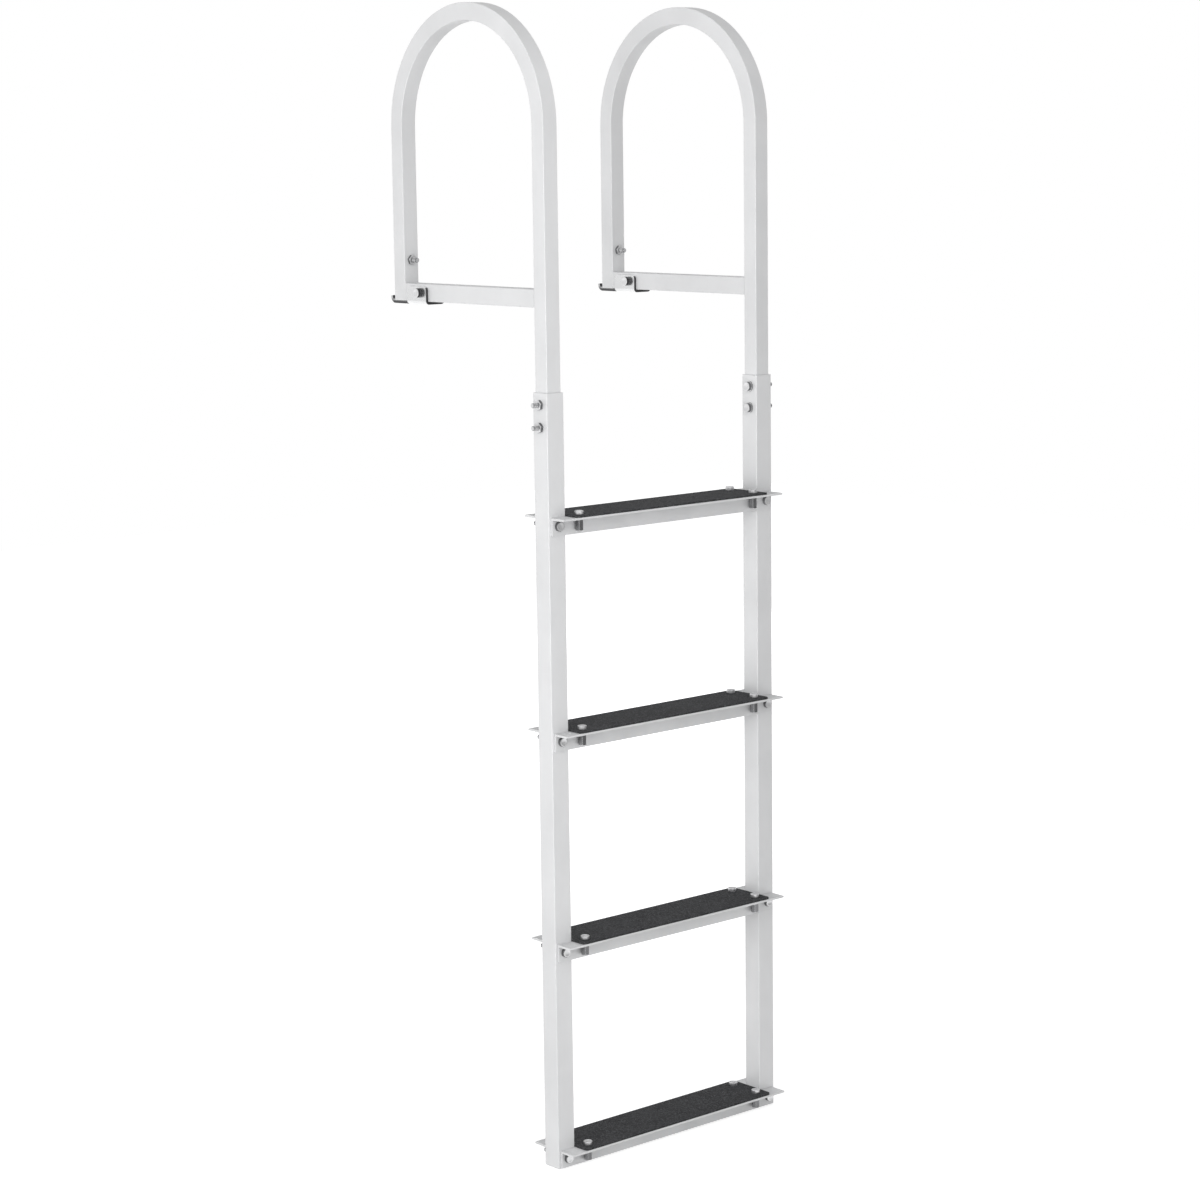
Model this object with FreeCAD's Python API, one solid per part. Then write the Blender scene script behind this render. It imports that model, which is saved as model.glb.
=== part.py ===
import FreeCAD, Part
import math
import os
from FreeCAD import Vector

# Dock ladder with four steps, made of square aluminium tube.
# X runs across the ladder from the left rail to the right one, +Y points from the water
# to the dock and +Z up. The origin lies on the underside of the left bracket, below its bolt.
# All lengths are in millimetres.

# Handrails: one tube bent over the top, from the rail's socket to the dock end
handrail_size = 25.0
handrail_wall = 2.0
handrail_corner = 0.6
loop_depth = 342.0
loop_bend_centre_height = 248.0
socket_depth = 75.0
socket_drop = 117.0

# Lower rails: the tube that the handrail slides into, and its spacing
rail_spacing = 400.0
rail_wall = 2.0
rail_corner = 0.6
socket_clearance = 0.5
rail_size = handrail_size + 2 * (socket_clearance + rail_wall)

# Crossbar between the handrail and its leg
crossbar_size = handrail_size
crossbar_wall = 2.0
crossbar_corner = 0.6

# Steps: an extruded profile with a plate and two webs
step_count = 4
step_spacing = 305.0
top_step_drop = 290.0
step_depth = 85.0
step_sheet = 3.0
step_end_inset = 4.0
step_edge = 0.8
web_sheet = 3.0
web_height = 22.5
web_fillet = 2.0
rail_foot = 1.0

# Mats
mat_thickness = 2.5
mat_end_gap = 1.0
mat_margin = 1.5
mat_corner = 6.0

# Dock brackets, folded from one sheet
bracket_sheet = 4.0
bracket_bend = 1.5
ear_length = 44.5
bolt_from_ear_front = 16.0
ear_height = 26.0
ear_corner = 6.0
leg_clear_of_ear = 10.0
lip_bend = 6.0
lip_angle = 80.0
lip_end = 2.0
deck_screw_hole = 6.5
deck_screw_inset = 7.0

# Bolts and their holes
bolt_size = 8.0
bolt_hole_clearance = 0.4
head_across_flats = 13.0
head_height = 5.3
nut_height = 6.5
thread_end = 7.5
leg_thread_end = 8.5
leg_bolt_height = 58.0
sleeve_bolt_drops = (16.5, 48.0)
step_bolt_drop = 12.0

# Clearances between pieces that are put together
ear_clearance = 0.3
seat_clearance = 0.3
lip_clearance = 0.5
notch_clearance = 0.5
web_clearance = 0.2
bolt_seat_gap = 0.05

# Small allowances of the modelling itself
drill_overrun = 1.0
same_place = 0.01

# Places worked out from the sizes above
crossbar_underside = bracket_sheet + seat_clearance
bolt_height = crossbar_underside + crossbar_size / 2
ear_front = -bolt_from_ear_front
ear_back = ear_front + ear_length
leg_front = ear_back + leg_clear_of_ear
leg_centre = leg_front + handrail_size / 2
lip_start = leg_front + handrail_size + lip_clearance
deck_screw_places = (ear_front + deck_screw_inset, (ear_back + leg_front) / 2)
bend_radius = (loop_depth - handrail_size) / 2
handrail_centre = leg_centre - 2 * bend_radius
bend_centre_y = leg_centre - bend_radius
bend_centre_z = crossbar_underside + loop_bend_centre_height
socket_top = crossbar_underside - socket_drop
handrail_end = socket_top - socket_depth
rail_front = handrail_centre - rail_size / 2
rail_back = handrail_centre + rail_size / 2
step_tops = [crossbar_underside - top_step_drop - step_spacing * number for number in range(step_count)]
web_bottom_drop = step_sheet + web_height
rail_bottom = step_tops[-1] - web_bottom_drop - rail_foot
rail_places = {"left": 0.0, "right": rail_spacing}
outward = {"left": -1, "right": 1}


def closed_face(points):
    """A flat face with straight sides between the points."""
    return Part.Face(Part.makePolygon(points + points[:1]))


def broken_square(size, corner):
    """A square on the XY plane, centred on the origin, with its corners broken."""
    half = size / 2
    flat = half - corner
    turns = [(half, -flat), (half, flat), (flat, half), (-flat, half)]
    turns += [(-half, flat), (-half, -flat), (-flat, -half), (flat, -half)]
    return closed_face([Vector(x, y, 0) for x, y in turns])


def tube_section(size, wall, corner):
    """The hollow square of an extruded tube, on the XY plane."""
    half = size / 2 - wall
    corners = ((-half, -half), (half, -half), (half, half), (-half, half))
    bore = closed_face([Vector(x, y, 0) for x, y in corners])
    return broken_square(size, corner).cut(bore)


def cylinder_along(axis, radius, start, end, place):
    """A round bar or drill along X, Y or Z, between two places on that axis."""
    directions = {"x": Vector(1, 0, 0), "y": Vector(0, 1, 0), "z": Vector(0, 0, 1)}
    direction = directions[axis]
    return Part.makeCylinder(radius, end - start, place + direction * start, direction)


def hexagon_along(axis, start, end, place):
    """A hexagonal bar along X or Y, for bolt heads and nuts."""
    radius = head_across_flats / math.sqrt(3)
    points = []
    for corner in range(7):
        angle = math.radians(60 * corner)
        u = radius * math.cos(angle)
        v = radius * math.sin(angle)
        if axis == "x":
            points.append(place + Vector(start, v, u))
        else:
            points.append(place + Vector(v, start, u))
    face = Part.Face(Part.makePolygon(points))
    if axis == "x":
        return face.extrude(Vector(end - start, 0, 0))
    return face.extrude(Vector(0, end - start, 0))


def bolt(axis, head_face, nut_face, place, thread=thread_end):
    """A bolt with its nut: the head seats at head_face and the nut at nut_face."""
    side = 1 if nut_face > head_face else -1
    head_seat = head_face - side * bolt_seat_gap
    nut_seat = nut_face + side * bolt_seat_gap
    tip = nut_seat + side * (nut_height + thread)
    low, high = sorted((head_seat, tip))
    shank = cylinder_along(axis, bolt_size / 2, low, high, place)
    head_low, head_high = sorted((head_seat, head_seat - side * head_height))
    nut_low, nut_high = sorted((nut_seat, nut_seat + side * nut_height))
    head = hexagon_along(axis, head_low, head_high, place)
    nut = hexagon_along(axis, nut_low, nut_high, place)
    return shank.fuse([head, nut]).removeSplitter()


def drill(shape, axis, start, end, place):
    """Cuts a bolt hole between two places on an axis."""
    radius = bolt_size / 2 + bolt_hole_clearance
    return shape.cut(cylinder_along(axis, radius, start, end, place))


def lower_rail(x):
    """The straight outer tube, open at its top as the handrail's socket."""
    section = tube_section(rail_size, rail_wall, rail_corner)
    section.translate(Vector(x, handrail_centre, rail_bottom))
    rail = section.extrude(Vector(0, 0, socket_top - rail_bottom))
    for drop in sleeve_bolt_drops:
        place = Vector(x, handrail_centre, socket_top - drop)
        rail = drill(rail, "x", -rail_size, rail_size, place)
    for top in step_tops:
        place = Vector(x, handrail_centre, top - step_bolt_drop)
        rail = drill(rail, "y", -rail_size, rail_size, place)
    return rail


def handrail(x):
    """One tube from the socket, up and over the bend, and down to the crossbar's underside."""
    section = tube_section(handrail_size, handrail_wall, handrail_corner)
    front = section.copy()
    front.translate(Vector(x, handrail_centre, handrail_end))
    front = front.extrude(Vector(0, 0, bend_centre_z - handrail_end))
    leg = section.copy()
    leg.translate(Vector(x, leg_centre, crossbar_underside))
    leg = leg.extrude(Vector(0, 0, bend_centre_z - crossbar_underside))
    bend = section.copy()
    bend.translate(Vector(x, leg_centre, bend_centre_z))
    bend = bend.revolve(Vector(x, bend_centre_y, bend_centre_z), Vector(1, 0, 0), 180)
    rail = front.fuse([bend, leg]).removeSplitter()
    for drop in sleeve_bolt_drops:
        place = Vector(x, handrail_centre, socket_top - drop)
        rail = drill(rail, "x", -handrail_size, handrail_size, place)
    place = Vector(x, leg_centre, crossbar_underside + leg_bolt_height)
    return drill(rail, "y", -handrail_size, handrail_size, place)


def crossbar(x):
    """The level tube from the handrail to the face of its leg."""
    start = handrail_centre + handrail_size / 2
    section = tube_section(crossbar_size, crossbar_wall, crossbar_corner)
    section.rotate(Vector(0, 0, 0), Vector(1, 0, 0), -90)
    section.translate(Vector(x, start, bolt_height))
    bar = section.extrude(Vector(0, leg_front - start, 0))
    return drill(bar, "x", -crossbar_size, crossbar_size, Vector(x, 0, bolt_height))


def channel_profile(x, half_width):
    """The bracket's folded U, on the XZ plane, with a bend at each ear's foot."""
    inner = half_width - bracket_sheet
    outer_bend = bracket_bend + bracket_sheet
    edges = []
    for side in (-1, 1):
        wall = x + side * half_width
        inside = x + side * inner
        centre = x + side * (inner - bracket_bend)
        for radius, face in ((outer_bend, wall), (bracket_bend, inside)):
            low = Vector(centre, 0, outer_bend - radius)
            high = Vector(face, 0, outer_bend)
            reach = radius * math.sqrt(0.5)
            middle = Vector(centre + side * reach, 0, outer_bend - reach)
            edges.append(Part.Arc(low, middle, high).toShape())
            edges.append(Part.makeLine(high, Vector(face, 0, ear_height)))
        edges.append(Part.makeLine(Vector(wall, 0, ear_height), Vector(inside, 0, ear_height)))
    flat = inner - bracket_bend
    for z in (0, bracket_sheet):
        edges.append(Part.makeLine(Vector(x - flat, 0, z), Vector(x + flat, 0, z)))
    return Part.Face(Part.Wire(Part.__sortEdges__(edges)))


def turned_lip(x, half_width):
    """The lip at the dock end: the base bent upwards, with a short straight end."""
    corners = ((-half_width, 0), (half_width, 0), (half_width, bracket_sheet), (-half_width, bracket_sheet))
    section = closed_face([Vector(x + across, lip_start, z) for across, z in corners])
    pivot = Vector(x, lip_start, bracket_sheet + lip_bend)
    bend = section.revolve(pivot, Vector(1, 0, 0), lip_angle)
    end_face = section.copy()
    end_face.rotate(pivot, Vector(1, 0, 0), lip_angle)
    lean = math.radians(lip_angle)
    end = end_face.extrude(Vector(0, math.cos(lean), math.sin(lean)) * lip_end)
    return bend.fuse(end)


def dock_bracket(x):
    """A folded bracket: base, two ears beside the crossbar, and a lip turned up at the dock end."""
    half_width = crossbar_size / 2 + ear_clearance + bracket_sheet
    channel = channel_profile(x, half_width)
    channel.translate(Vector(0, ear_front, 0))
    channel = channel.extrude(Vector(0, ear_length, 0))
    rounded = []
    for edge in channel.Edges:
        middle = edge.CenterOfMass
        at_end = min(abs(middle.y - ear_front), abs(middle.y - ear_back)) < same_place
        if at_end and abs(middle.z - ear_height) < same_place:
            rounded.append(edge)
    channel = channel.makeFillet(ear_corner, rounded)
    tab = half_width - bracket_sheet - bracket_bend
    base = Part.makeBox(2 * tab, lip_start - ear_front, bracket_sheet, Vector(x - tab, ear_front, 0))
    bracket = base.fuse([channel, turned_lip(x, tab)]).removeSplitter()
    reach = half_width + drill_overrun
    bracket = drill(bracket, "x", -reach, reach, Vector(x, 0, bolt_height))
    for y in deck_screw_places:
        hole = cylinder_along("z", deck_screw_hole / 2, -bracket_sheet, 2 * bracket_sheet, Vector(x, y, 0))
        bracket = bracket.cut(hole)
    return bracket


def step_profile(top):
    """The step's section on the YZ plane: a plate with broken edges, on two webs with fillets."""
    front = handrail_centre - step_depth / 2
    back = handrail_centre + step_depth / 2
    under = top - step_sheet
    bottom = top - web_bottom_drop
    outline = [(front, under + step_edge), (front, top - step_edge), (front + step_edge, top)]
    outline += [(back - step_edge, top), (back, top - step_edge), (back, under + step_edge)]
    outline += [(back - step_edge, under)]
    webs = [(rail_back + web_clearance, rail_back + web_clearance + web_sheet)]
    webs += [(rail_front - web_clearance - web_sheet, rail_front - web_clearance)]
    for inner, outer in webs:
        outline += [(outer, under), (outer, bottom), (inner, bottom), (inner, under)]
    outline += [(front + step_edge, under)]
    return closed_face([Vector(0, y, z) for y, z in outline])


def step(top):
    """One length of the step's profile, notched at its ends for the rails and drilled for bolts."""
    start = -rail_size / 2 + step_end_inset
    length = rail_spacing - 2 * start
    profile = step_profile(top)
    profile.translate(Vector(start, 0, 0))
    shape = profile.extrude(Vector(length, 0, 0))
    under = top - step_sheet
    corners = []
    for edge in shape.Edges:
        middle = edge.CenterOfMass
        under_plate = abs(edge.Length - length) < same_place and abs(middle.z - under) < same_place
        if under_plate and abs(middle.y - handrail_centre) < step_depth / 3:
            corners.append(edge)
    shape = shape.makeFillet(web_fillet, corners)
    notch = rail_size + 2 * notch_clearance
    for x in rail_places.values():
        corner = Vector(x - notch / 2, handrail_centre - notch / 2, under - web_fillet)
        shape = shape.cut(Part.makeBox(notch, notch, step_sheet + 2 * web_fillet, corner))
        shape = drill(shape, "y", -rail_size, rail_size, Vector(x, handrail_centre, top - step_bolt_drop))
    return shape


def mat(top):
    """The rubber mat, lying on the plate between the rails, with rounded corners."""
    length = rail_spacing - rail_size - 2 * mat_end_gap
    depth = step_depth - 2 * mat_margin
    corner = Vector(rail_spacing / 2 - length / 2, handrail_centre - depth / 2, top)
    block = Part.makeBox(length, depth, mat_thickness, corner)
    uprights = [edge for edge in block.Edges if abs(edge.Length - mat_thickness) < same_place]
    return block.makeFillet(mat_corner, uprights)


def write(name, shape):
    """Writes one node as a STEP file and prints its size."""
    if shape.ShapeType == "Compound" and len(shape.Solids) == 1:
        shape = shape.Solids[0]
    shape.exportStep("parts/" + name + ".step")
    state = "valid" if shape.isValid() else "NOT VALID"
    print(name, len(shape.Solids), "solid", round(shape.Volume), "mm3", state)


def build():
    os.makedirs("parts", exist_ok=True)
    half = handrail_size / 2
    ear_face = crossbar_size / 2 + ear_clearance + bracket_sheet
    for side, x in rail_places.items():
        out = outward[side]
        write(side + "_lower_rail", lower_rail(x))
        write(side + "_handrail", handrail(x))
        write(side + "_crossbar", crossbar(x))
        write(side + "_dock_bracket", dock_bracket(x))
        write(side + "_bracket_bolt", bolt("x", -ear_face, ear_face, Vector(x, 0, bolt_height)))
        leg_place = Vector(x, leg_centre, crossbar_underside + leg_bolt_height)
        write(side + "_leg_bolt", bolt("y", half, -half, leg_place, leg_thread_end))
        for name, drop in zip(("upper", "lower"), sleeve_bolt_drops):
            place = Vector(x, handrail_centre, socket_top - drop)
            sleeve_bolt = bolt("x", -out * rail_size / 2, out * rail_size / 2, place)
            write(side + "_" + name + "_sleeve_bolt", sleeve_bolt)
    for number, top in enumerate(step_tops, 1):
        write("step_%d" % number, step(top))
        write("mat_%d" % number, mat(top))


build()
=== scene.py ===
import math

import bpy
from mathutils import Matrix, Vector


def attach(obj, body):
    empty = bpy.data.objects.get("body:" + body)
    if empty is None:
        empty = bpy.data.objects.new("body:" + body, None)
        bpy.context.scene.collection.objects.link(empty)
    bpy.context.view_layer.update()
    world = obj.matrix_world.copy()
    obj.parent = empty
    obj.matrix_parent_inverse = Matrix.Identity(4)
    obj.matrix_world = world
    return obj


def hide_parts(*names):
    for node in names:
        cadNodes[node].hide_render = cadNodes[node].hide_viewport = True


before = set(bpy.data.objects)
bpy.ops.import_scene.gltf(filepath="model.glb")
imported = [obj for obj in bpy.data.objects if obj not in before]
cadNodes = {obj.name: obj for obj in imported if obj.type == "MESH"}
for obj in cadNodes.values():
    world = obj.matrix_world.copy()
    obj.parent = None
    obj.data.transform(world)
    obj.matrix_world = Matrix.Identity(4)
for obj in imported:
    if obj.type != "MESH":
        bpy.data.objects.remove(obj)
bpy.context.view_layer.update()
print("ladder frame loaded:", len(cadNodes), "nodes")

# places of the ladder, in metres, as in the construction
ladder = {
    "railPlaces": {"left": 0.0, "right": 0.400},
    "outward": {"left": -1, "right": 1},
    "railCentreY": -0.266,
    "railSize": 0.030,
    "legCentreY": 0.051,
    "handrailSize": 0.025,
    "crossbarBottom": 0.0043,
    "crossbarSize": 0.025,
    "earFace": 0.0168,
    "legBoltHeight": 0.058,
    "socketTop": -0.1127,
    "sleeveBoltDrops": (0.0165, 0.048),
    "stepTops": [0.0043 - 0.290 - 0.305 * n for n in range(4)],
    "plateSheet": 0.003,
    "webFace": 0.0182,
    "stepBoltDrop": 0.012,
    "matTop": 0.0025,
}


def deselectAll():
    if bpy.context.object and bpy.context.object.mode != "OBJECT":
        bpy.ops.object.mode_set(mode="OBJECT")
    bpy.ops.object.select_all(action="DESELECT")


def activeMesh(name):
    piece = bpy.context.object
    piece.name = name
    piece.data.name = name
    return piece


def selectFaces(piece, wanted):
    # picks faces by their centre and normal, then stays in edit mode
    bpy.ops.object.mode_set(mode="EDIT")
    bpy.ops.mesh.select_mode(type="FACE")
    bpy.ops.mesh.select_all(action="DESELECT")
    bpy.ops.object.mode_set(mode="OBJECT")
    for face in piece.data.polygons:
        face.select = wanted(face.center, face.normal)
    bpy.ops.object.mode_set(mode="EDIT")


def selectEdges(piece, wanted):
    bpy.ops.object.mode_set(mode="EDIT")
    bpy.ops.mesh.select_mode(type="EDGE")
    bpy.ops.mesh.select_all(action="DESELECT")
    bpy.ops.object.mode_set(mode="OBJECT")
    points = piece.data.vertices
    for edge in piece.data.edges:
        edge.select = wanted(points[edge.vertices[0]].co, points[edge.vertices[1]].co)
    bpy.ops.object.mode_set(mode="EDIT")


def applyPlace(piece):
    deselectAll()
    piece.select_set(True)
    bpy.context.view_layer.objects.active = piece
    bpy.ops.object.transform_apply(location=True, rotation=True, scale=True)


def keepCommon(piece, other):
    # keeps what both shapes share
    deselectAll()
    bpy.context.view_layer.objects.active = piece
    cut = piece.modifiers.new("common", "BOOLEAN")
    cut.operation = "INTERSECT"
    cut.solver = "EXACT"
    cut.object = other
    bpy.ops.object.modifier_apply(modifier=cut.name)
    bpy.data.objects.remove(other)


def joinPieces(pieces, name):
    deselectAll()
    for piece in pieces:
        piece.select_set(True)
    bpy.context.view_layer.objects.active = pieces[0]
    if len(pieces) > 1:
        bpy.ops.object.join()
    return activeMesh(name)


def smoothByAngle(piece, degrees):
    deselectAll()
    piece.select_set(True)
    bpy.context.view_layer.objects.active = piece
    bpy.ops.object.shade_smooth_by_angle(angle=math.radians(degrees))


def copyPiece(piece, name, place):
    # a copy with its own mesh, put in place by a matrix
    made = piece.copy()
    made.data = piece.data.copy()
    made.name = name
    made.data.name = name
    bpy.context.scene.collection.objects.link(made)
    made.data.transform(place)
    made.data.update()
    return made


def placeMatrix(origin, direction):
    # turns a piece made along +Z to a direction
    turn = Vector((0, 0, 1)).rotation_difference(Vector(direction)).to_matrix().to_4x4()
    return Matrix.Translation(Vector(origin)) @ turn


# Bolts: round head, shank, hexagonal nut and a real thread end, in millimetres until they are placed
boltLook = {
    "radius": 4.0,
    "headAcross": 13.6,
    "headHeight": 5.3,
    "headRound": 0.9,
    "headFoot": 0.15,
    "dishRim": 0.1,
    "dishSlope": 0.06,
    "dishDepth": 0.4,
    "nutAcross": 13.0,
    "nutHeight": 5.0,
    "nutTurn": 17,
    "nutEdge": 0.2,
    "chamferAngle": 30,
    "chamferShare": 0.475,
    "shankPlay": 0.06,
    "threadRadius": 3.4,
    "threadPitch": 1.25,
    "threadDepth": 0.5,
    "threadSlope": 0.35,
    "threadFlat": 0.15,
    "tipShare": 0.82,
    "washerPlay": 0.25,
    "washerEdge": 0.2,
    "seatGap": 0.05,
    "sideMargin": 0.5,
    "smoothAngle": 35,
}
# grip and reach of each kind, its washers as outer radius and height, and how level a side face may be, the
# sides being painted dark as shade and reflection
boltKinds = {
    "leg": {"grip": 25.0, "reach": 15.0},
    "sleeve": {"grip": 30.0, "reach": 14.0, "headWasher": (7.9, 1.6)},
    "bracket": {"grip": 33.6, "reach": 14.0, "headWasher": (6.9, 1.5), "nutWasher": (8.0, 1.5)},
    "step": {"grip": 36.4, "reach": 14.0, "steepest": 0.95},
}
toMetres = Matrix.Scale(0.001, 4)


def cylinderPiece(name, vertices, radius, low, high):
    # an upright cylinder between two heights
    deselectAll()
    bpy.ops.mesh.primitive_cylinder_add(vertices=vertices, radius=radius, depth=high - low,
                                        location=(0, 0, (low + high) / 2))
    piece = activeMesh(name)
    applyPlace(piece)
    return piece


def bevelPicked(offset, segments):
    # bevels the picked edges and leaves edit mode
    bpy.ops.mesh.bevel(offset=offset, segments=segments, affect="EDGES")
    bpy.ops.object.mode_set(mode="OBJECT")


def raised(piece, height, angle=0.0, axis="Z"):
    # turns a piece about its own place, then lifts it
    turn = Matrix.Rotation(math.radians(angle), 4, axis)
    piece.data.transform(Matrix.Translation((0, 0, height)) @ turn)
    return piece


def hexagonBlock(height, across):
    # a nut from z = 0 up, a hexagon with the turned chamfer of a real one at both ends
    block = cylinderPiece("hexagonBlock", 6, across / math.sqrt(3), 0, height)
    selectEdges(block, lambda a, b: abs(a.z - b.z) > height / 2)
    bevelPicked(boltLook["nutEdge"], 1)
    topRadius = across * boltLook["chamferShare"]
    reach = height / math.tan(math.radians(boltLook["chamferAngle"]))
    for flip in (False, True):
        deselectAll()
        bpy.ops.mesh.primitive_cone_add(vertices=48, radius1=topRadius + reach, radius2=topRadius,
                                        depth=height, location=(0, 0, height / 2))
        cone = activeMesh("chamferCone")
        if flip:
            cone.rotation_euler = (math.pi, 0, 0)
        applyPlace(cone)
        keepCommon(block, cone)
    bpy.ops.object.mode_set(mode="EDIT")
    bpy.ops.mesh.select_all(action="SELECT")
    bpy.ops.mesh.remove_doubles(threshold=0.02)
    bpy.ops.object.mode_set(mode="OBJECT")
    return block


def headPiece(across):
    # a round head from z = 0 up, rounded at the top edge, with a shallow dish in the middle, as forged
    height = boltLook["headHeight"]
    head = cylinderPiece("head", 48, across / 2, 0, height)
    selectEdges(head, lambda a, b: min(a.z, b.z) > height * 0.99)
    bevelPicked(boltLook["headRound"], 4)
    selectFaces(head, lambda centre, normal: normal.z > 0.99 and centre.z > height * 0.99)
    bpy.ops.mesh.inset(thickness=across * boltLook["dishRim"])
    bpy.ops.mesh.inset(thickness=across * boltLook["dishSlope"])
    bpy.ops.transform.translate(value=(0, 0, -boltLook["dishDepth"]))
    bpy.ops.object.mode_set(mode="OBJECT")
    selectEdges(head, lambda a, b: max(a.z, b.z) < 0.01)
    bevelPicked(boltLook["headFoot"], 1)
    return head


def threadPiece(length):
    # ridges one pitch apart, with a broken tip
    pitch = boltLook["threadPitch"]
    slope, flat = boltLook["threadSlope"], boltLook["threadFlat"]
    root = 1 - boltLook["threadDepth"] / boltLook["threadRadius"]
    thread = cylinderPiece("thread", 24, boltLook["threadRadius"], 0, pitch / 4)
    ridges = int((length - pitch) / pitch)
    spare = length - pitch / 4 - ridges * pitch - pitch / 2
    selectFaces(thread, lambda centre, normal: normal.z > 0.9)
    for ridge in range(ridges):
        for rise, scale in ((slope, root), (flat, 1.0), (slope, 1 / root), (flat, 1.0)):
            bpy.ops.mesh.extrude_region_move(TRANSFORM_OT_translate={"value": (0, 0, rise * pitch)})
            if scale != 1.0:
                bpy.ops.transform.resize(value=(scale, scale, 1))
    for rise in (spare, pitch / 2):
        bpy.ops.mesh.extrude_region_move(TRANSFORM_OT_translate={"value": (0, 0, rise)})
    bpy.ops.transform.resize(value=(boltLook["tipShare"], boltLook["tipShare"], 1))
    bpy.ops.object.mode_set(mode="OBJECT")
    return thread


def washerPiece(outerRadius, height):
    # a flat ring from z = 0 up, with broken edges and a real hole
    inner = boltLook["radius"] + boltLook["washerPlay"]
    washer = cylinderPiece("washer", 40, outerRadius, 0, height)
    selectFaces(washer, lambda centre, normal: abs(normal.z) > 0.9)
    bpy.ops.mesh.inset(thickness=outerRadius - inner, use_individual=True)
    bpy.ops.mesh.bridge_edge_loops()
    bpy.ops.object.mode_set(mode="OBJECT")
    rim = outerRadius * 0.98
    selectEdges(washer, lambda a, b: abs(a.z - b.z) < 0.01 and min(a.xy.length, b.xy.length) > rim)
    bevelPicked(boltLook["washerEdge"], 2)
    return washer


def markShadedSides(bolt, nutTop, steepest):
    # the side faces of heads and nuts and the thread get the second material, painted dark as shade and
    # reflection
    for face in bolt.data.polygons:
        fromAxis = face.center.xy.length
        side = abs(face.normal.z) < steepest and fromAxis > boltLook["radius"] + boltLook["sideMargin"]
        thread = face.center.z > nutTop + 0.01 and fromAxis > boltLook["threadRadius"] / 2
        if side or thread:
            face.material_index = 1


def boltPiece(name, grip, reach, headWasher=None, nutWasher=None, steepest=0.5):
    # head below z = 0, nut above z = grip, thread end at grip + reach: the bolt points along +Z
    low, high = -boltLook["seatGap"], grip + boltLook["seatGap"]
    rings = []
    if headWasher:
        low -= headWasher[1]
        rings.append(raised(washerPiece(*headWasher), low))
    if nutWasher:
        rings.append(raised(washerPiece(*nutWasher), high))
        high += nutWasher[1]
    nutTop = high + boltLook["nutHeight"]
    head = raised(headPiece(boltLook["headAcross"]), low, 180, "X")
    nut = raised(hexagonBlock(boltLook["nutHeight"], boltLook["nutAcross"]), high, boltLook["nutTurn"])
    thread = raised(threadPiece(grip + reach - nutTop), nutTop)
    shank = cylinderPiece("shank", 24, boltLook["radius"] - boltLook["shankPlay"], low, high)
    bolt = joinPieces([head, nut, thread, shank] + rings, name)
    smoothByAngle(bolt, boltLook["smoothAngle"])
    markShadedSides(bolt, nutTop, steepest)
    bolt.data.transform(toMetres)
    return bolt


# Mat bolts: round heads on the mat, and under the plate a washer and a long nut, in millimetres
matBoltLook = {
    "headAcross": 12.8,
    "washerRadius": 7.0,
    "washerHeight": 1.6,
    "nutAcross": 10.6,
    "nutHeight": 15.5,
    "nutTurn": 20,
    "endInside": 0.6,
    "fromRail": 17.4,
    "fromCentre": 24.6,
}


def matBoltPiece(name, grip):
    # seated at z = 0 on the mat, its nut against the plate's underside at z = -grip
    look = matBoltLook
    gap = boltLook["seatGap"]
    washerFoot = -grip - gap - look["washerHeight"]
    nutFoot = washerFoot - look["nutHeight"]
    head = raised(headPiece(look["headAcross"]), gap)
    washer = raised(washerPiece(look["washerRadius"], look["washerHeight"]), washerFoot)
    nut = raised(hexagonBlock(look["nutHeight"], look["nutAcross"]), nutFoot, look["nutTurn"])
    shankRadius = boltLook["radius"] - boltLook["shankPlay"]
    shank = cylinderPiece("shank", 24, shankRadius, nutFoot + look["endInside"], gap)
    bolt = joinPieces([head, washer, nut, shank], name)
    smoothByAngle(bolt, boltLook["smoothAngle"])
    # the long nut's sides get the second material, painted dark as shade and reflection
    for face in bolt.data.polygons:
        if abs(face.normal.z) < 0.5 and face.center.z < washerFoot:
            face.material_index = 1
    bolt.data.transform(toMetres)
    return bolt


metalPieces = []


def addBolt(model, name, place, node=None):
    # node is the plain construction bolt that this one stands for
    metalPieces.append((copyPiece(model, name, place), node))


# bolts of the frame
models = {kind: boltPiece(kind + "BoltModel", **sizes) for kind, sizes in boltKinds.items()}
for side, x in ladder["railPlaces"].items():
    out = ladder["outward"][side]
    crossbarCentre = ladder["crossbarBottom"] + ladder["crossbarSize"] / 2
    place = placeMatrix((x - ladder["earFace"], 0, crossbarCentre), (1, 0, 0))
    addBolt(models["bracket"], side + "BracketBolt", place, side + "_bracket_bolt")
    legHeight = ladder["crossbarBottom"] + ladder["legBoltHeight"]
    legBack = ladder["legCentreY"] + ladder["handrailSize"] / 2
    place = placeMatrix((x, legBack, legHeight), (0, -1, 0))
    addBolt(models["leg"], side + "LegBolt", place, side + "_leg_bolt")
    for which, drop in zip(("upper", "lower"), ladder["sleeveBoltDrops"]):
        start = (x - out * ladder["railSize"] / 2, ladder["railCentreY"], ladder["socketTop"] - drop)
        place = placeMatrix(start, (out, 0, 0))
        node = side + "_" + which + "_sleeve_bolt"
        addBolt(models["sleeve"], side + which.capitalize() + "SleeveBolt", place, node)
    for number, top in enumerate(ladder["stepTops"], 1):
        start = (x, ladder["railCentreY"] - ladder["webFace"], top - ladder["stepBoltDrop"])
        addBolt(models["step"], side + "StepBolt" + str(number), placeMatrix(start, (0, 1, 0)))
for model in models.values():
    bpy.data.objects.remove(model)
print("bolts made:", len(metalPieces))

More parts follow.
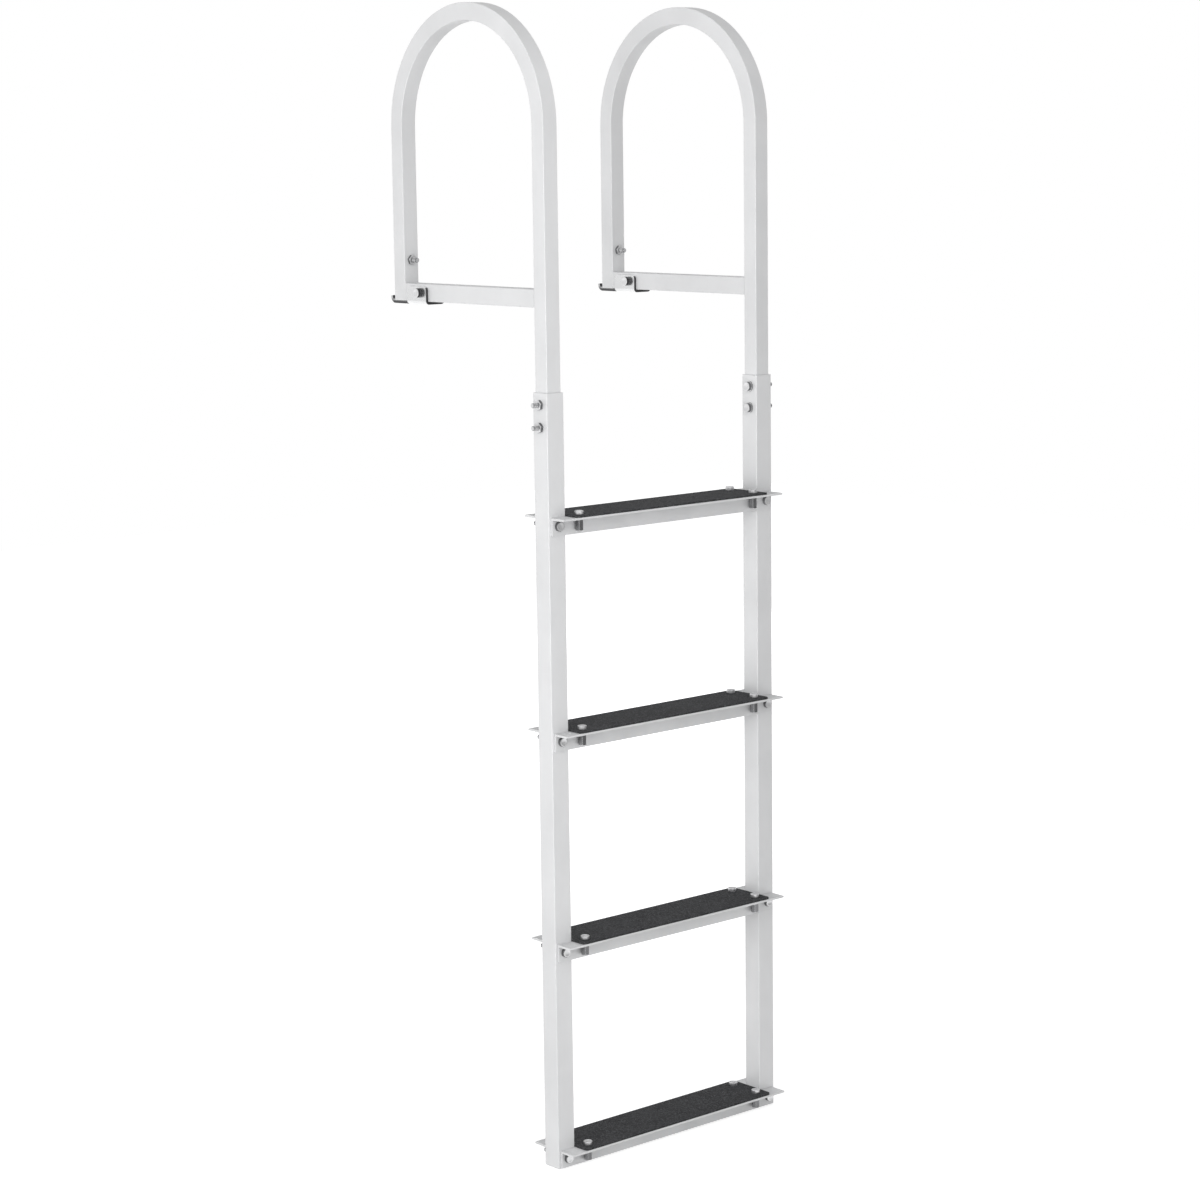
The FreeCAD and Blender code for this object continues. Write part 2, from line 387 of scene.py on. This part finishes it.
# bolts of the mats
matBolt = matBoltPiece("matBoltModel", (ladder["plateSheet"] + ladder["matTop"]) * 1000)
for number, top in enumerate(ladder["stepTops"], 1):
    for side, x in ladder["railPlaces"].items():
        fromRail = ladder["railSize"] / 2 + matBoltLook["fromRail"] / 1000
        across = x - ladder["outward"][side] * fromRail
        for which, towards in (("Water", -1), ("Dock", 1)):
            along = ladder["railCentreY"] + towards * matBoltLook["fromCentre"] / 1000
            place = Matrix.Translation((across, along, top + ladder["matTop"]))
            addBolt(matBolt, side + which + "MatBolt" + str(number), place)
bpy.data.objects.remove(matBolt)
print("pieces of metal:", len(metalPieces))

for piece, node in metalPieces:
    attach(piece, "root")
    if node:
        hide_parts(node)


# Materials
def newGroup(name, inputs, outputs):
    group = bpy.data.node_groups.new(name, "ShaderNodeTree")
    for socketName, kind, value in inputs:
        socket = group.interface.new_socket(socketName, in_out="INPUT", socket_type=kind)
        socket.default_value = value
    for socketName, kind in outputs:
        group.interface.new_socket(socketName, in_out="OUTPUT", socket_type=kind)
    return group, group.nodes.new("NodeGroupInput"), group.nodes.new("NodeGroupOutput")


def feed(tree, socket, value):
    # a plain value is set, a socket is linked
    if isinstance(value, (int, float, tuple)):
        socket.default_value = value
    else:
        tree.links.new(value, socket)


def mathNode(tree, operation, first, second, clamp=False):
    node = tree.nodes.new("ShaderNodeMath")
    node.operation = operation
    node.use_clamp = clamp
    feed(tree, node.inputs[0], first)
    feed(tree, node.inputs[1], second)
    return node.outputs[0]


def mixColor(tree, factor, first, second):
    node = tree.nodes.new("ShaderNodeMix")
    node.data_type = "RGBA"
    feed(tree, node.inputs[0], factor)
    feed(tree, node.inputs[6], first)
    feed(tree, node.inputs[7], second)
    return node.outputs[2]


def noiseOn(tree, vector, scale, detail=3.0, roughness=0.5):
    node = tree.nodes.new("ShaderNodeTexNoise")
    node.inputs["Detail"].default_value = detail
    node.inputs["Roughness"].default_value = roughness
    feed(tree, node.inputs["Scale"], scale)
    tree.links.new(vector, node.inputs["Vector"])
    return node.outputs[0]


def mapRange(tree, value, fromLow, fromHigh, toLow, toHigh):
    node = tree.nodes.new("ShaderNodeMapRange")
    for socket, number in zip(list(node.inputs)[:5], (value, fromLow, fromHigh, toLow, toHigh)):
        feed(tree, socket, number)
    return node.outputs[0]


def spreadNoise(tree, noise, low, high):
    # most of a noise lies between 0.3 and 0.7
    return mapRange(tree, noise, 0.3, 0.7, low, high)


grainLook = {"lineScale": 900.0, "blotchScale": 14.0, "pitScale": 650.0}


def drawnGrainGroup():
    # fine lines along the length of a drawn or extruded piece, with soft blotches
    group, entry, leave = newGroup(
        "drawnGrain",
        [("Vector", "NodeSocketVector", (0, 0, 0)), ("Lines", "NodeSocketVector", (1, 1, 1)),
         ("Line Scale", "NodeSocketFloat", grainLook["lineScale"]),
         ("Blotch Scale", "NodeSocketFloat", grainLook["blotchScale"])],
        [("Lines", "NodeSocketFloat"), ("Blotches", "NodeSocketFloat"), ("Pits", "NodeSocketFloat")])
    stretch = group.nodes.new("ShaderNodeVectorMath")
    stretch.operation = "MULTIPLY"
    group.links.new(entry.outputs["Vector"], stretch.inputs[0])
    group.links.new(entry.outputs["Lines"], stretch.inputs[1])
    lines = noiseOn(group, stretch.outputs[0], entry.outputs["Line Scale"], 2.0)
    blotches = noiseOn(group, entry.outputs["Vector"], entry.outputs["Blotch Scale"], 3.0)
    pits = noiseOn(group, entry.outputs["Vector"], grainLook["pitScale"], 2.0, 0.6)
    group.links.new(lines, leave.inputs["Lines"])
    group.links.new(blotches, leave.inputs["Blotches"])
    group.links.new(pits, leave.inputs["Pits"])
    return group


def edgeWearGroup():
    # a painted highlight along the edges: brighter colour, with smoother metal where hands and decks rub
    # the edges
    group, entry, leave = newGroup(
        "edgeWearAndHighlight",
        [("Radius", "NodeSocketFloat", 0.0012), ("Breakup", "NodeSocketFloat", 0.5)],
        [("Wear And Highlight", "NodeSocketFloat")])
    bevel = group.nodes.new("ShaderNodeBevel")
    bevel.samples = 4
    group.links.new(entry.outputs["Radius"], bevel.inputs["Radius"])
    geometry = group.nodes.new("ShaderNodeNewGeometry")
    dot = group.nodes.new("ShaderNodeVectorMath")
    dot.operation = "DOT_PRODUCT"
    group.links.new(bevel.outputs[0], dot.inputs[0])
    group.links.new(geometry.outputs["Normal"], dot.inputs[1])
    edge = mapRange(group, dot.outputs["Value"], 0.995, 0.90, 0.0, 1.0)
    broken = mathNode(group, "MULTIPLY", edge, entry.outputs["Breakup"], clamp=True)
    group.links.new(broken, leave.inputs["Wear And Highlight"])
    return group


drawnGrain = drawnGrainGroup()
edgeWearAndHighlight = edgeWearGroup()


def placeGroup(tree, group, values):
    node = tree.nodes.new("ShaderNodeGroup")
    node.node_tree = group
    for name, value in values.items():
        feed(tree, node.inputs[name], value)
    return node


# colour and its darker blotches, how metallic, middle roughness and its spread, strength of the lines,
# and edge wear, whose lighter colour is a painted edge highlight
metalLook = {
    "tube": {
        "color": (0.70, 0.703, 0.71, 1), "shade": (0.655, 0.658, 0.665, 1),
        "metallic": 0.2, "roughness": 0.46, "spread": 0.08, "lines": 0.25, "edge": 0.15,
    },
    "tread": {
        "color": (0.69, 0.693, 0.70, 1), "shade": (0.61, 0.613, 0.62, 1),
        "metallic": 0.2, "roughness": 0.40, "spread": 0.12, "lines": 0.6, "edge": 0.3,
    },
    "bracket": {
        "color": (0.76, 0.763, 0.77, 1), "shade": (0.68, 0.683, 0.69, 1),
        "metallic": 1.0, "roughness": 0.27, "spread": 0.10, "lines": 0.3, "edge": 0.3,
    },
    "bolts": {
        "color": (0.75, 0.752, 0.76, 1), "shade": (0.60, 0.602, 0.61, 1),
        "metallic": 1.0, "roughness": 0.33, "spread": 0.12, "lines": 0.1, "edge": 0.3,
    },
    # bolt sides: painted shade and dark reflection, with a painted highlight on their edges
    "boltShadedSides": {
        "color": (0.22, 0.222, 0.228, 1), "shade": (0.13, 0.131, 0.135, 1), "wornAndSheen": (0.62, 0.622, 0.63, 1),
        "metallic": 1.0, "roughness": 0.26, "spread": 0.12, "lines": 0.1, "edge": 0.9, "wearAndHighlightRadius": 0.0011,
    },
    # bracket bolt sides: darker still, painted shade and dark reflection
    "boltDeepShadedSides": {
        "color": (0.07, 0.07, 0.072, 1), "shade": (0.035, 0.035, 0.037, 1), "wornAndSheen": (0.16, 0.16, 0.165, 1),
        "metallic": 1.0, "roughness": 0.28, "spread": 0.12, "lines": 0.1, "edge": 0.2,
    },
}
# edge wear: its lighter colour is a painted highlight, its lower roughness is wear
metalDetail = {
    "wearAndHighlightRadius": 0.0008,
    "wearHighlight": 1.08,
    "wearSmooth": 0.08,
    "linesSmooth": 0.04,
    "linesRough": 0.06,
    "pits": 0.35,
    "bumpStrength": 0.35,
    "bumpDistance": 0.00005,
}
# dark colour painted on the bracket's edges as shade and dark reflection
shadedEdgeLook = {
    "color": (0.08, 0.08, 0.082, 1),
    "roughness": 0.42,
    "facing": 0.7,
    "earBack": 0.0285,
    "lipShare": 0.3,
    "lipFade": (0.002, 0.008),
}


def shadedEdgeMask(tree, coordinates):
    # 1 on the bracket sheet's edges painted dark as shade and dark reflection: those facing the water, and
    # the long ones beyond the ears
    facing = shadedEdgeLook["facing"]
    fadeLow, fadeHigh = shadedEdgeLook["lipFade"]
    split = tree.nodes.new("ShaderNodeSeparateXYZ")
    tree.links.new(coordinates.outputs["Normal"], split.inputs[0])
    place = tree.nodes.new("ShaderNodeSeparateXYZ")
    tree.links.new(coordinates.outputs["Object"], place.inputs[0])
    towardsWater = mathNode(tree, "LESS_THAN", split.outputs["Y"], -facing)
    sideways = mathNode(tree, "GREATER_THAN", mathNode(tree, "ABSOLUTE", split.outputs["X"], 0.0), facing)
    beyondEars = mathNode(tree, "GREATER_THAN", place.outputs["Y"], shadedEdgeLook["earBack"])
    fade = mapRange(tree, place.outputs["Z"], fadeLow, fadeHigh, 1.0, shadedEdgeLook["lipShare"])
    longEdges = mathNode(tree, "MULTIPLY", mathNode(tree, "MULTIPLY", sideways, beyondEars), fade)
    return mathNode(tree, "MAXIMUM", towardsWater, longEdges)


def metalMaterial(name, look, lineStretch, shadedEdges=False):
    detail = metalDetail
    material = bpy.data.materials.new(name)
    material.use_nodes = True
    tree = material.node_tree
    shader = tree.nodes["Principled BSDF"]
    shader.inputs["Metallic"].default_value = look["metallic"]
    coordinates = tree.nodes.new("ShaderNodeTexCoord")
    grain = placeGroup(tree, drawnGrain, {"Vector": coordinates.outputs["Object"], "Lines": lineStretch})
    wearAndHighlightValues = {"Radius": look.get("wearAndHighlightRadius", detail["wearAndHighlightRadius"]), "Breakup": look["edge"]}
    wearAndHighlight = placeGroup(tree, edgeWearAndHighlight, wearAndHighlightValues)
    blotches = grain.outputs["Blotches"]
    base = mixColor(tree, spreadNoise(tree, blotches, 0.0, 1.0), look["color"], look["shade"])
    # painted highlight: worn edges are drawn in a lighter colour
    wornAndHighlit = tuple(min(1.0, value * detail["wearHighlight"]) for value in look["color"][:3]) + (1,)
    color = mixColor(tree, wearAndHighlight.outputs["Wear And Highlight"], base, look.get("wornAndSheen", wornAndHighlit))
    low, high = look["roughness"] - look["spread"] / 2, look["roughness"] + look["spread"] / 2
    fromBlotches = spreadNoise(tree, blotches, low, high)
    fromLines = spreadNoise(tree, grain.outputs["Lines"],
                            -detail["linesSmooth"] * look["lines"], detail["linesRough"] * look["lines"])
    together = mathNode(tree, "ADD", fromBlotches, fromLines)
    smoother = mathNode(tree, "MULTIPLY", wearAndHighlight.outputs["Wear And Highlight"], -detail["wearSmooth"])
    roughness = mathNode(tree, "ADD", together, smoother, clamp=True)
    if shadedEdges:
        # painted shade: the bracket's water-facing and long edges are drawn dark
        cut = shadedEdgeMask(tree, coordinates)
        color = mixColor(tree, cut, color, shadedEdgeLook["color"])
        shadedEdgeRoughness = mathNode(tree, "MULTIPLY", cut, shadedEdgeLook["roughness"])
        roughness = mathNode(tree, "MAXIMUM", roughness, shadedEdgeRoughness)
    tree.links.new(color, shader.inputs["Base Color"])
    tree.links.new(roughness, shader.inputs["Roughness"])
    heights = mathNode(tree, "ADD", mathNode(tree, "MULTIPLY", grain.outputs["Lines"], look["lines"]),
                       mathNode(tree, "MULTIPLY", grain.outputs["Pits"], detail["pits"]))
    bump = tree.nodes.new("ShaderNodeBump")
    bump.inputs["Strength"].default_value = detail["bumpStrength"]
    bump.inputs["Distance"].default_value = detail["bumpDistance"]
    tree.links.new(heights, bump.inputs["Height"])
    tree.links.new(bump.outputs[0], shader.inputs["Normal"])
    return material


matLook = {
    "color": (0.022, 0.0225, 0.024, 1),
    "grain": (0.075, 0.076, 0.080, 1),
    "wornAndSheen": (0.050, 0.051, 0.054, 1),
    "roughness": 0.85,
    "spread": 0.16,
    "gloss": 0.25,
    "gritScale": 620.0,
    "gritDepth": 0.0004,
    "gritStrength": 0.8,
    "patchScale": 22.0,
    "fineScale": 380.0,
}


def matMaterial():
    # black grip mat: pressed grit with paler grains, scuffed in patches by feet
    material = bpy.data.materials.new("blackGripRubber")
    material.use_nodes = True
    tree = material.node_tree
    shader = tree.nodes["Principled BSDF"]
    shader.inputs["Specular IOR Level"].default_value = matLook["gloss"]
    coordinates = tree.nodes.new("ShaderNodeTexCoord")
    grit = tree.nodes.new("ShaderNodeTexVoronoi")
    grit.inputs["Scale"].default_value = matLook["gritScale"]
    tree.links.new(coordinates.outputs["Object"], grit.inputs["Vector"])
    grains = tree.nodes.new("ShaderNodeSeparateColor")
    tree.links.new(grit.outputs["Color"], grains.inputs[0])
    patches = noiseOn(tree, coordinates.outputs["Object"], matLook["patchScale"], 4.0, 0.6)
    fine = noiseOn(tree, coordinates.outputs["Object"], matLook["fineScale"], 3.0, 0.6)
    scuffs = mathNode(tree, "MULTIPLY", mapRange(tree, patches, 0.45, 0.75, 0.0, 1.0),
                      mapRange(tree, fine, 0.4, 0.7, 0.2, 1.0), clamp=True)
    pale = mapRange(tree, grains.outputs[0], 0.45, 1.0, 0.0, 1.0)
    speckled = mixColor(tree, pale, matLook["color"], matLook["grain"])
    low, high = matLook["roughness"] - matLook["spread"] / 2, matLook["roughness"] + matLook["spread"] / 2
    tree.links.new(mixColor(tree, scuffs, speckled, matLook["wornAndSheen"]), shader.inputs["Base Color"])
    tree.links.new(spreadNoise(tree, fine, low, high), shader.inputs["Roughness"])
    bump = tree.nodes.new("ShaderNodeBump")
    bump.inputs["Strength"].default_value = matLook["gritStrength"]
    bump.inputs["Distance"].default_value = matLook["gritDepth"]
    tree.links.new(grit.outputs["Distance"], bump.inputs["Height"])
    tree.links.new(bump.outputs[0], shader.inputs["Normal"])
    return material


def dress(piece, material):
    piece.data.materials.clear()
    piece.data.materials.append(material)


# each grain runs along the axis with the smallest number
materials = {
    "railMetal": metalMaterial("drawnTubeUpright", metalLook["tube"], (1, 1, 0.02)),
    "crossbarMetal": metalMaterial("drawnTubeLevel", metalLook["tube"], (1, 0.02, 1)),
    "handrailMetal": metalMaterial("bentTube", metalLook["tube"], (1, 0.06, 0.06)),
    "treadMetal": metalMaterial("extrudedTread", metalLook["tread"], (0.02, 1, 1)),
    "bracketMetal": metalMaterial("foldedSheet", metalLook["bracket"], (1, 0.03, 1), shadedEdges=True),
    "boltMetal": metalMaterial("boltSteel", metalLook["bolts"], (1, 1, 1)),
    "boltShadedSideMetal": metalMaterial("boltShadedSideSteel", metalLook["boltShadedSides"], (1, 1, 1)),
    "boltDeepShadedSideMetal": metalMaterial("boltDeepShadedSide", metalLook["boltDeepShadedSides"], (1, 1, 1)),
    "matRubber": matMaterial(),
}
# what a node's name holds says its material, and all others are bolts
dressing = {
    "lower_rail": "railMetal",
    "handrail": "handrailMetal",
    "crossbar": "crossbarMetal",
    "dock_bracket": "bracketMetal",
    "step": "treadMetal",
    "mat": "matRubber",
}
for name, node in cadNodes.items():
    fitting = [material for part, material in dressing.items() if part in name]
    dress(node, materials[fitting[0] if fitting else "boltMetal"])
for piece, node in metalPieces:
    # a new piece keeps its face numbers: ends first, then sides, which are painted dark as shade and
    # reflection
    piece.data.materials.append(materials["boltMetal"])
    piece.data.materials.append(materials["boltDeepShadedSideMetal" if "Bracket" in piece.name else "boltShadedSideMetal"])
print("materials given:", len(materials))

# Studio
studio = {
    "floorHeight": -1.2272,
    "floorDrop": 0.0005,
    "floorSize": 12.0,
    "floorColor": (0.50, 0.50, 0.50, 1),
    "floorRoughness": 0.9,
    "floorLift": 0.76,
    "floorLiftFar": 0.95,
    "floorFade": (0.6, 1.6),
    "worldWhite": 1.0,
    "worldSoft": 0.56,
    "worldAbove": 0.35,
    "worldRise": (0.1, 0.8),
    "middle": (0.2, -0.2, -0.4),
}
lamps = {
    "leftLamp": {"size": (3.0, 3.0), "power": 128.0, "place": (-4.5, -0.9, 0.3)},
    "frontLamp": {"size": (0.8, 2.4), "power": 15.0, "place": (-0.45, -1.4, -0.2)},
    "backLamp": {"size": (3.0, 3.0), "power": 90.0, "place": (3.6, 2.8, 0.4)},
}
cards = {
    "rightCard": {"size": (2.4, 3.4), "place": (1.35, -1.45, -0.35), "shade": 0.60},
    "farCard": {"size": (7.0, 1.4), "place": (3.6, 3.4, 0.5), "shade": 0.10},
}


def lightPathPick(tree):
    # 1 where the camera, a reflection or a refraction sees the background
    path = tree.nodes.new("ShaderNodeLightPath")
    seen = mathNode(tree, "MAXIMUM", path.outputs["Is Camera Ray"], path.outputs["Is Glossy Ray"])
    return mathNode(tree, "MAXIMUM", seen, path.outputs["Is Transmission Ray"])


deselectAll()
floorPlace = (0, 0, studio["floorHeight"] - studio["floorDrop"])
bpy.ops.mesh.primitive_plane_add(size=studio["floorSize"], location=floorPlace)
floor = activeMesh("studioFloor")
floorMaterial = bpy.data.materials.new("paleFloor")
floorMaterial.use_nodes = True
tree = floorMaterial.node_tree
shader = tree.nodes["Principled BSDF"]
shader.inputs["Base Color"].default_value = studio["floorColor"]
shader.inputs["Roughness"].default_value = studio["floorRoughness"]
shader.inputs["Specular IOR Level"].default_value = 0.0
lift = tree.nodes.new("ShaderNodeEmission")
lift.inputs["Color"].default_value = (1, 1, 1, 1)
onFloor = tree.nodes.new("ShaderNodeTexCoord")
fromMiddle = tree.nodes.new("ShaderNodeVectorMath")
fromMiddle.operation = "LENGTH"
tree.links.new(onFloor.outputs["Object"], fromMiddle.inputs[0])
# the shadow stays near the feet, and the floor fades into the white background further out
nearEnd, farEnd = studio["floorFade"]
fadeOut = mapRange(tree, fromMiddle.outputs["Value"], nearEnd, farEnd,
                   studio["floorLift"], studio["floorLiftFar"])
tree.links.new(mathNode(tree, "MULTIPLY", lightPathPick(tree), fadeOut), lift.inputs["Strength"])
both = tree.nodes.new("ShaderNodeAddShader")
tree.links.new(shader.outputs[0], both.inputs[0])
tree.links.new(lift.outputs[0], both.inputs[1])
tree.links.new(both.outputs[0], tree.nodes["Material Output"].inputs["Surface"])
dress(floor, floorMaterial)

world = bpy.data.worlds.new("whiteRoom")
bpy.context.scene.world = world
world.use_nodes = True
tree = world.node_tree
background = tree.nodes["Background"]
background.inputs["Color"].default_value = (1, 1, 1, 1)
direction = tree.nodes.new("ShaderNodeTexCoord")
height = tree.nodes.new("ShaderNodeSeparateXYZ")
tree.links.new(direction.outputs["Generated"], height.inputs[0])
# light on the object comes from the sides more than from above
riseLow, riseHigh = studio["worldRise"]
soft = mapRange(tree, height.outputs["Z"], riseLow, riseHigh, studio["worldSoft"], studio["worldAbove"])
strength = mapRange(tree, lightPathPick(tree), 0.0, 1.0, soft, studio["worldWhite"])
tree.links.new(strength, background.inputs["Strength"])


def turnToMiddle(place, front):
    return (Vector(studio["middle"]) - Vector(place)).to_track_quat(front, "Y").to_euler()


def softLamp(name, size, power, place):
    lamp = bpy.data.lights.new(name, "AREA")
    lamp.shape = "RECTANGLE"
    lamp.size, lamp.size_y = size
    lamp.energy = power
    holder = bpy.data.objects.new(name, lamp)
    bpy.context.scene.collection.objects.link(holder)
    holder.location = place
    holder.rotation_euler = turnToMiddle(place, "-Z")
    holder.visible_glossy = False
    holder.visible_camera = False


def reflectionCard(name, size, place, shade):
    # a card that only reflections see
    deselectAll()
    bpy.ops.mesh.primitive_plane_add(size=1.0, location=(0, 0, 0))
    card = activeMesh(name)
    card.scale = (size[0], size[1], 1)
    card.rotation_euler = turnToMiddle(place, "Z")
    card.location = place
    applyPlace(card)
    cardMaterial = bpy.data.materials.new(name)
    cardMaterial.use_nodes = True
    shader = cardMaterial.node_tree.nodes["Principled BSDF"]
    shader.inputs["Base Color"].default_value = (shade, shade, shade, 1)
    shader.inputs["Roughness"].default_value = 1.0
    dress(card, cardMaterial)
    card.visible_camera = False
    card.visible_diffuse = False
    card.visible_shadow = False


for name, values in lamps.items():
    softLamp(name, **values)
for name, values in cards.items():
    reflectionCard(name, **values)

# Camera: place and turn fitted to the edges of the real ladder
cameraFit = {
    "place": (-2.593553, -3.368922, 0.239371),
    "yaw": 40.856,
    "pitch": 8.945,
    "roll": -0.747,
    "lens": 87.863,
    "sensorWidth": 36.0,
    "clipEnd": 60.0,
}
yaw, pitch, roll = [math.radians(cameraFit[k]) for k in ("yaw", "pitch", "roll")]
forward = Vector((math.sin(yaw) * math.cos(pitch), math.cos(yaw) * math.cos(pitch), -math.sin(pitch)))
level = Vector((math.cos(yaw), -math.sin(yaw), 0))
upright = level.cross(forward)
right = math.cos(roll) * level + math.sin(roll) * upright
up = -math.sin(roll) * level + math.cos(roll) * upright
turn = Matrix((right, up, -forward)).transposed().to_4x4()
camera = bpy.data.cameras.new("viewCamera")
camera.lens = cameraFit["lens"]
camera.sensor_width = cameraFit["sensorWidth"]
camera.sensor_fit = "HORIZONTAL"
camera.clip_end = cameraFit["clipEnd"]
cameraHolder = bpy.data.objects.new("viewCamera", camera)
bpy.context.scene.collection.objects.link(cameraHolder)
cameraHolder.matrix_world = Matrix.Translation(Vector(cameraFit["place"])) @ turn
bpy.context.scene.camera = cameraHolder
bpy.context.scene.view_settings.view_transform = "Standard"
print("studio and camera ready")
